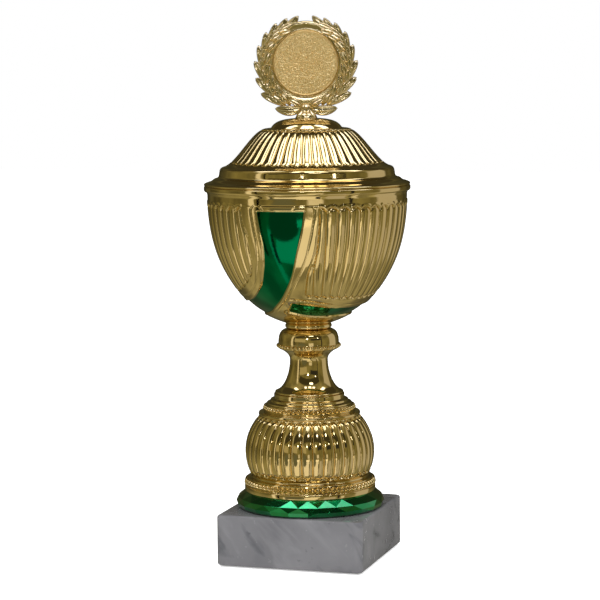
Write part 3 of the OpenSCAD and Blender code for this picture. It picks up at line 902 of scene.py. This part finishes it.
def wreath_disc(shape, place):
    """The disc behind the leaves, with a recess on each face and a rounded ring round it."""
    disc_r, recess_r = 32.6, EMBLEM_R + 0.3
    face = [(0, 1.0), (recess_r, 1.0), (recess_r, 1.6), (recess_r + 0.7, 1.9), (recess_r + 1.6, 1.45),
            (recess_r + 2.2, 1.5)]
    ring = arc((disc_r - 2.4, 0), 2.5, 88, 0, 8) * [0.96, 0.78] + [0.04 * disc_r, 0]
    front = path(face, ring)
    outline = soften(path(front[::-1] * [1, -1], front), 0.3, closed=False, turn_limit=25)
    points, *faces = domed(outline, 144)
    shape.add(moved(points * [1, -1, 1], place), *flipped(faces))


def pedestal(shape):
    """The flared, lobed base that stands on the lid."""
    base_r, bore_r, high = 8.5, 2.05, 10.6
    lobes, columns = 8, 96
    outline = path([(bore_r, 0), (base_r, 0), (base_r, 0.7)],
                   cubic((base_r - 0.2, 1.4), (base_r - 0.8, 4.2), (5.0, 4.6), (4.4, 6.6), 12),
                   [(4.2, 7.6), (4.6, 8.6), (3.4, high), (bore_r, high)])
    outline = divide(soften(outline, 0.4, turn_limit=20), 0.5)
    r, z = outline[:, :1], outline[:, 1:]
    wave = np.abs(np.cos(full_turn(columns) * lobes / 2 + WREATH_TURN)) ** 0.7
    lobed = smooth((z - 0.6) / 1.5) * smooth((8.6 - z) / 2) * (r > bore_r + 0.15)
    shape.add(*turned(outline + [0, Z_WREATH], columns, -1.1 * (1 - wave) * lobed))


def knot(shape, place):
    outline = soften([(0, -3.6), (1.8, -2.8), (2.5, 0), (1.8, 2.8), (0, 3.6)], 1.4, closed=False)
    points, *faces = domed(outline, 32)
    shape.add(moved(points * [1.0, 1.15, 1.0] + [0, -35.8, 0], place), *faces)


def wreath():
    place = wreath_frame()
    shape = Shape()
    wreath_disc(shape, place)
    for side in (-1, 1):
        branch(shape, place, side)
    pedestal(shape)
    knot(shape, place)
    shape.build("laurel_wreath", GOLD_CAST, "lid", "wreath", sharp=60)


def value_noise(x, y, cell):
    """Smooth random heights between -0.5 and 0.5 over a plane, with bumps of about the cell's size."""
    size = 128
    table = np.random.default_rng(7).random((size, size)) - 0.5
    i, j = np.floor(x / cell).astype(int), np.floor(y / cell).astype(int)
    u, v = smooth(x / cell - i), smooth(y / cell - j)
    here, there = ([table[(i + a) % size, (j + b) % size] for b in (0, 1)] for a in (0, 1))
    return (here[0] * (1 - v) + here[1] * v) * (1 - u) + (there[0] * (1 - v) + there[1] * v) * u


def emblem():
    """A stamped disc: a raised rim round a sunken, grained field."""
    thick, seat = 2.2, 1.0
    field_z = thick - 0.8
    r, field_r = EMBLEM_R, EMBLEM_R - 1.5
    rings = np.concatenate([np.arange(0.4, r - 1.9, 0.34), [r - 1.7, field_r]])
    field = np.stack([rings, np.full(len(rings), field_z)], 1)[::-1]
    rim = soften([(r, 0.1), (r, thick - 0.25), (r - 0.25, thick), (r - 0.8, thick), (r - 1.1, thick - 0.85),
                  (field_r, field_z)], 0.25, closed=False)[:-1]
    points, *faces = domed(path([(0, 0), (r - 0.3, 0)], rim, field, [(0, field_z)]), 420)
    x, y, z = points.T
    grain = value_noise(x, y, 0.7) + 0.7 * value_noise(y, x, 0.38)
    points[:, 2] += 0.8 * grain * ((np.hypot(x, y) < r - 1.7) & (z > 0.5))
    shape = Shape(moved(points + [0, 0, seat], wreath_frame()), *faces)
    shape.build("emblem_disc", EMBLEM, "lid", "emblem", sharp=60)


# ---- fasteners

def threaded_bar(name, body, cad_node, diameter, pitch):
    """A bar with a thread from end to end and chamfered ends."""
    low, high = bottom(cad_node), top(cad_node)
    radius, depth = diameter / 2, pitch * 0.54
    columns, steps_per_turn = 24, 6
    z = np.append(np.arange(low, high, pitch / steps_per_turn), high)[:, None]
    azimuth = full_turn(columns)
    wave = np.abs(((z / pitch - azimuth / TAU) % 1) * 2 - 1)
    thread = radius - depth * np.clip(1.15 * wave - 0.05, 0, 1)
    chamfer = radius - depth - 0.15 + np.minimum(z - low, high - z)
    shape = Shape(around(np.minimum(thread, chamfer), azimuth, z), *with_caps(len(z), columns))
    shape.build(name, STEEL, body, cad_node, sharp=50)


def hex_nut(name, body, cad_node, flats, hole_r):
    """A six-sided nut with its corners bevelled on both faces. flats is its size across the flats."""
    height = top(cad_node) - bottom(cad_node)
    azimuth = full_turn(96)
    hexagon = flats / 2 / np.cos((azimuth + math.pi / 6) % (math.pi / 3) - math.pi / 6)
    bevel_h = height * 0.13
    lower = np.array([(hole_r, 0.5), (hole_r + 0.5, 0), (flats / 2 * 0.95, 0), (flats * 0.545, bevel_h * 0.5),
                      (flats * 0.6, bevel_h)])
    levels = path(lower, lower[::-1] * [1, -1] + [0, height])
    points = around(np.minimum(hexagon, levels[:, :1]), azimuth, bottom(cad_node) + levels[:, 1:])
    shape = Shape(points, ring_grid(len(levels), len(azimuth)))
    shape.build(name, STEEL, body, cad_node, sharp=25)


def washer(name, body, cad_node, hole_r):
    low, high, r = bottom(cad_node), top(cad_node), half_width(cad_node)
    outline = soften([(hole_r, low), (r, low), (r, high), (hole_r, high)], 0.3)
    shape = Shape(*turned(outline, 96))
    shape.build(name, STEEL, body, cad_node)


def fasteners():
    threaded_bar("rod_threaded", "cup", "threaded_rod", 6.0, 1.0)
    threaded_bar("stud_threaded", "lid", "wreath_stud", 4.0, 0.7)
    flats = {6: 10.0, 4: 7.0}
    washer_hole_r = {6: ROD_HOLE_R, 4: STUD_HOLE_R}
    seats = (("base", "cup", 6), ("bowl", "cup", 6), ("lid", "lid", 4))
    for where, body, size in seats:
        hex_nut(f"{where}_nut_m{size}", body, where + "_nut", flats[size], size / 2 + 0.02)
    for where, body, size in seats:
        washer(f"{where}_washer_m{size}", body, where + "_washer", washer_hole_r[size])


# ---- studio

AIM = Vector((0, 0, 0.24))
WHITE = (1.0, 1.06, 1.35)
CREAM = (1.0, 0.96, 0.9)
OLIVE = (1, 0.9, 0.5)


def emission(name, colour, strength, soft, rounded):
    """A light of its own that fades out towards the panel's edge over the share soft of its half width."""
    paint = Paint(name)
    light = paint.add("Emission", Color=(*colour, 1), Strength=strength).outputs[0]
    if not soft:
        return paint.glow(light)
    place = paint.add("SeparateXYZ", Vector=paint.add("TexCoord").outputs["Generated"]).outputs
    sides = [paint.maths("ABSOLUTE", paint.maths("SUBTRACT", place[axis], 0.5)) for axis in "XY"]
    x, y = (paint.maths("MULTIPLY", side, 2.0) for side in sides)
    if rounded:
        joined = paint.add("CombineXYZ", X=x, Y=y).outputs[0]
        away = paint.add("VectorMath", operation="LENGTH", _0=joined).outputs["Value"]
    else:
        away = paint.maths("MAXIMUM", x, y)
    clear = paint.add("BsdfTransparent").outputs[0]
    faded = paint.add("MixShader", _0=paint.spread(away, 1 - soft, 1.0), _1=light, _2=clear)
    return paint.glow(faded.outputs[0])


def room_material():
    """A dim olive glow, paler at the top and bottom, blotched, and darker behind the cup."""
    paint = Paint("room")
    height = paint.add("SeparateXYZ", Vector=paint.coords).outputs["Z"]
    ramp = paint.add("ValToRGB", Fac=paint.spread(height, -2.2, 2.6))
    stops = [(0.0, (0.46, 0.44, 0.30)), (0.3, (0.40, 0.38, 0.22)), (0.47, (0.23, 0.21, 0.095)),
             (0.72, (0.26, 0.24, 0.11)), (1.0, (0.42, 0.38, 0.22))]
    while len(ramp.color_ramp.elements) < len(stops):
        ramp.color_ramp.elements.new(0.5)
    for element, (at, colour) in zip(ramp.color_ramp.elements, stops):
        element.position = at
        element.color = (*colour, 1)
    blotch = paint.spread(paint.noise(1.1, 3), 0.35, 0.7, 0.55, 1.25)
    camera_side = (math.sin(CAMERA_TURN), -math.cos(CAMERA_TURN), 0)
    ahead = paint.add("VectorMath", operation="DOT_PRODUCT", _0=paint.coords, _1=camera_side).outputs["Value"]
    strength = paint.maths("MULTIPLY", blotch, paint.spread(ahead, -2.5, -0.6, 0.22, 0.86))
    return paint.glow(paint.add("Emission", Color=ramp.outputs["Color"], Strength=strength).outputs[0])


def only_reflected(piece):
    for ray in ("camera", "diffuse", "transmission", "volume_scatter", "shadow"):
        setattr(piece, "visible_" + ray, False)


def facing(azimuth, elevation, far):
    """A place that faces AIM from far metres away, given in degrees round from the camera's side and degrees
    up."""
    a, e = CAMERA_TURN + math.radians(azimuth), math.radians(elevation)
    way = Vector((math.sin(a) * math.cos(e), -math.cos(a) * math.cos(e), math.sin(e)))
    return Matrix.Translation(AIM + way * far) @ way.to_track_quat("Z", "Y").to_matrix().to_4x4()


def staged(name, points, faces, material):
    """An object of the studio, which isn't part of the cup."""
    mesh = bpy.data.meshes.new(name)
    mesh.from_pydata(points, [], faces)
    mesh.materials.append(material)
    piece = placed(name, mesh)
    return piece


def sheet(name, width, height, material):
    x, y = width / 2, height / 2
    return staged(name, [(-x, -y, 0), (x, -y, 0), (x, y, 0), (-x, y, 0)], [(0, 1, 2, 3)], material)


def card(name, azimuth, elevation, width, height, strength, colour=(1, 1, 1), far=1.6, soft=0.0,
         rounded=False):
    """A flat panel that shows in the metal only. width and height are the degrees that it covers."""
    w, h = (2 * far * math.tan(math.radians(x / 2)) for x in (width, height))
    piece = sheet(name, w, h, emission(name, colour, strength, soft, rounded))
    piece.matrix_world = facing(azimuth, elevation, far)
    only_reflected(piece)


def area_light(name, azimuth, elevation, size, power):
    """A round lamp that lights the cup and isn't seen in it."""
    data = bpy.data.lights.new(name, "AREA")
    data.shape = "DISK"
    data.size = size
    data.energy = power
    light = placed(name, data)
    light.matrix_world = facing(azimuth, elevation, 1.8)
    light.visible_glossy = False


def floor():
    paper = Paint("pale_floor", Base_Color=(0.9, 0.9, 0.9, 1), Roughness=0.9, Specular_IOR_Level=0.0,
                  Emission_Color=(1, 1, 1, 1), Emission_Strength=0.45)
    sheet("floor", 12, 12, paper.material).visible_glossy = False


def room():
    """The dim room that the metal reflects."""
    outline = path([(0, -1)], arc((0, 0), 1, -84, 84, 28), [(0, 1)])
    points, *faces = domed(outline * 2.6, 48)
    points = (points + np.array(AIM)).tolist()
    only_reflected(staged("room", points, [f for group in faces for f in group.tolist()], room_material()))


def panels():
    """Pale sheets low in front, softboxes overhead, strips at the sides, small bright lamps and dark gaps."""
    card("sheet_front", -12, -33, 50, 34, 0.90, CREAM, soft=0.05)
    card("sheet_bar", -12, -15, 56, 4, 1.2, CREAM, far=1.55)
    card("sheet_dark", -27, -15, 38, 28, 0.17, (0.8, 0.85, 0.6), far=1.5, soft=0.15, rounded=True)
    card("sheet_side", 34, -30, 22, 30, 0.48, CREAM, soft=0.1)
    card("panel_left", -34, 9, 44, 15, 0.44, (1, 0.92, 0.62), far=1.75, soft=0.06)
    card("dark_front", 28, 13, 42, 10, 0.03, far=1.7, soft=0.2)
    card("dark_above", 0, 38, 150, 24, 0.05, OLIVE, far=1.75, soft=0.2)
    for side, azimuth, width in (("left", -22, 8), ("middle", 4, 10), ("right", 30, 8)):
        card("softbox_" + side, azimuth, 68, width, 32, 3.0, WHITE, soft=0.15)
    card("softbox_far_right", 88, 60, 14, 34, 3.0, WHITE, soft=0.2)
    card("softbox_far_left", -84, 60, 12, 30, 2.6, WHITE, soft=0.2)
    card("dark_back", 0, 122, 150, 60, 0.05, OLIVE, far=1.75, soft=0.1)
    card("strip_left", -66, 0, 9, 76, 0.85, CREAM, soft=0.4)
    card("gap_left", -57, -6, 3, 64, 0.0)
    card("gap_right", 50, -4, 4, 44, 0.02)
    card("wall_right", 104, 0, 40, 64, 0.5, CREAM, soft=0.2)
    card("lamp_front", -6, 17, 5, 5, 14, WHITE, soft=0.3, rounded=True)
    card("lamp_right", 36, 20, 3.5, 3.5, 10, WHITE, soft=0.3, rounded=True)
    card("lamp_high", 12, 41, 16, 6, 5, WHITE, soft=0.3)
    card("wall_front", 9, -6, 20, 9, 0.75, CREAM, far=1.55, soft=0.3)
    card("gap_low_left", -44, -34, 3, 26, 0.04, far=1.5)
    card("gap_low_right", 13, -42, 5, 40, 0.04, far=1.5)
    card("strip_low_left", -46, -40, 5, 50, 0.8, CREAM, soft=0.2)
    card("strip_low_right", 58, -35, 6, 50, 0.7, CREAM, soft=0.2)


def studio():
    bpy.context.scene.view_settings.view_transform = "Standard"
    world = bpy.data.worlds.new("world")
    world.use_nodes = True
    background = world.node_tree.nodes["Background"]
    background.inputs["Color"].default_value = (1, 1, 1, 1)
    background.inputs["Strength"].default_value = 1.0
    bpy.context.scene.world = world
    floor()
    room()
    panels()
    area_light("key", -25, 40, 0.9, 14)
    area_light("fill", 60, 30, 1.2, 9)
    area_light("overhead", 20, 68, 1.0, 8)


make_camera()
felt_pads()
marble_block()
faceted_ring()
foot()
stem()
seat_ring()
bowl()
lid()
wreath()
emblem()
fasteners()
studio()
